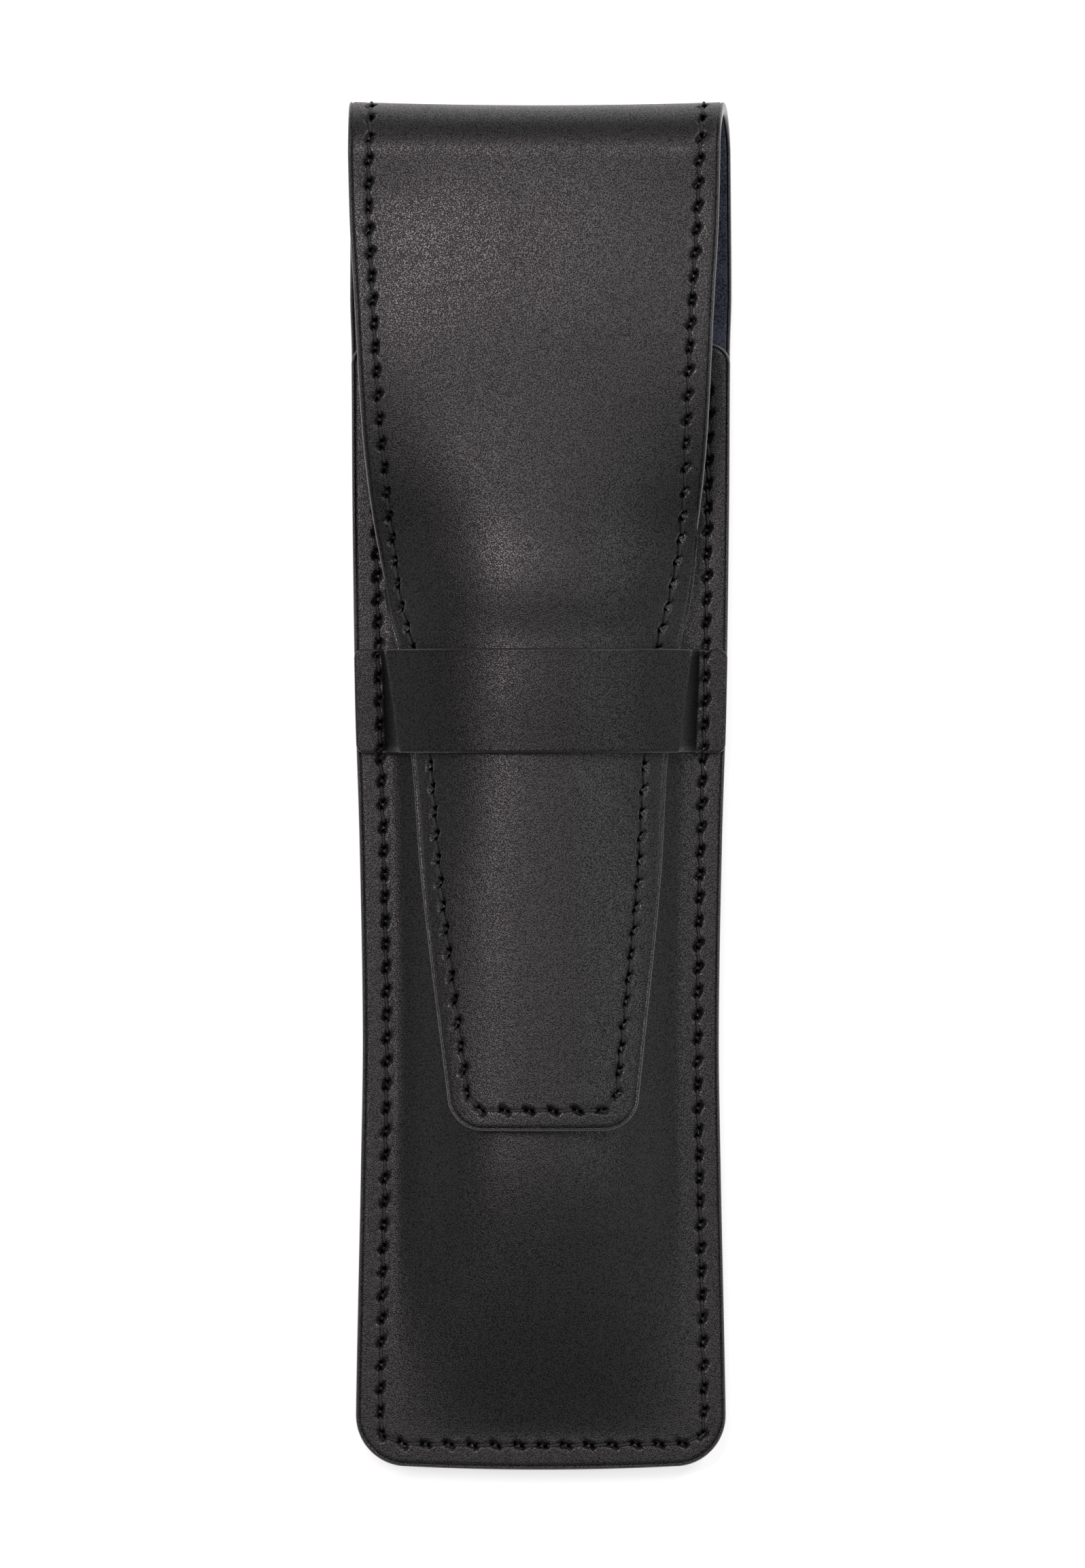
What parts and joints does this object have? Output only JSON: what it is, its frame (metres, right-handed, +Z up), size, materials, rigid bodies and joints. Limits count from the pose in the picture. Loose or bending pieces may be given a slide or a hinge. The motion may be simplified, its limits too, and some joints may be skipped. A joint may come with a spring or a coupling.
{
  "type": "leather pen case",
  "caption": "Slim sewn leather pen pouch with a suede-lined pocket, closed by a long tapering flap that folds over the top and tucks under a strap.",
  "frame": {"origin": "on the table under the middle of the closed case, which lies on its back", "axes": "+X across the case to the right as the front is seen with the fold at the top, +Y along the case towards the folded end, +Z up out of its front"},
  "size_m": [0.0449, 0.1608, 0.0168],
  "materials": {
    "black_leather": "smooth black calf leather with a fine pebbled grain, satin, with darker burnished cut edges",
    "navy_suede": "matt dark navy suede lining with a short nap",
    "black_thread": "twisted black sewing thread"
  },
  "bodies": {
    "case": {"back_leather": "black_leather", "back_lining": "navy_suede", "front_leather": "black_leather", "front_lining": "navy_suede", "strap_leather": "black_leather", "pocket_top_thread": "black_thread", "pocket_under_thread": "black_thread"},
    "fold": {"fold_leather": "black_leather", "fold_lining": "navy_suede", "fold_outer_thread_left": "black_thread", "fold_outer_thread_right": "black_thread", "fold_inner_thread_left": "black_thread", "fold_inner_thread_right": "black_thread"},
    "flap": {"flap_leather": "black_leather", "flap_lining": "navy_suede", "flap_outer_thread": "black_thread", "flap_inner_thread": "black_thread"}
  },
  "joints": [
    {"name": "fold_bend", "type": "hinge", "parent": "case", "child": "fold", "pos_m": [0, 0.0783, 0.0031], "axis": [-1, 0, 0], "range_deg": [0, 87.5]},
    {"name": "flap_bend", "type": "hinge", "parent": "fold", "child": "flap", "pos_m": [0, 0.0783, 0.01225], "axis": [-1, 0, 0], "range_deg": [0, 87.5]}
  ],
  "couplings": [
    {"joint": "flap_bend", "follows": "fold_bend", "ratio": 1}
  ]
}
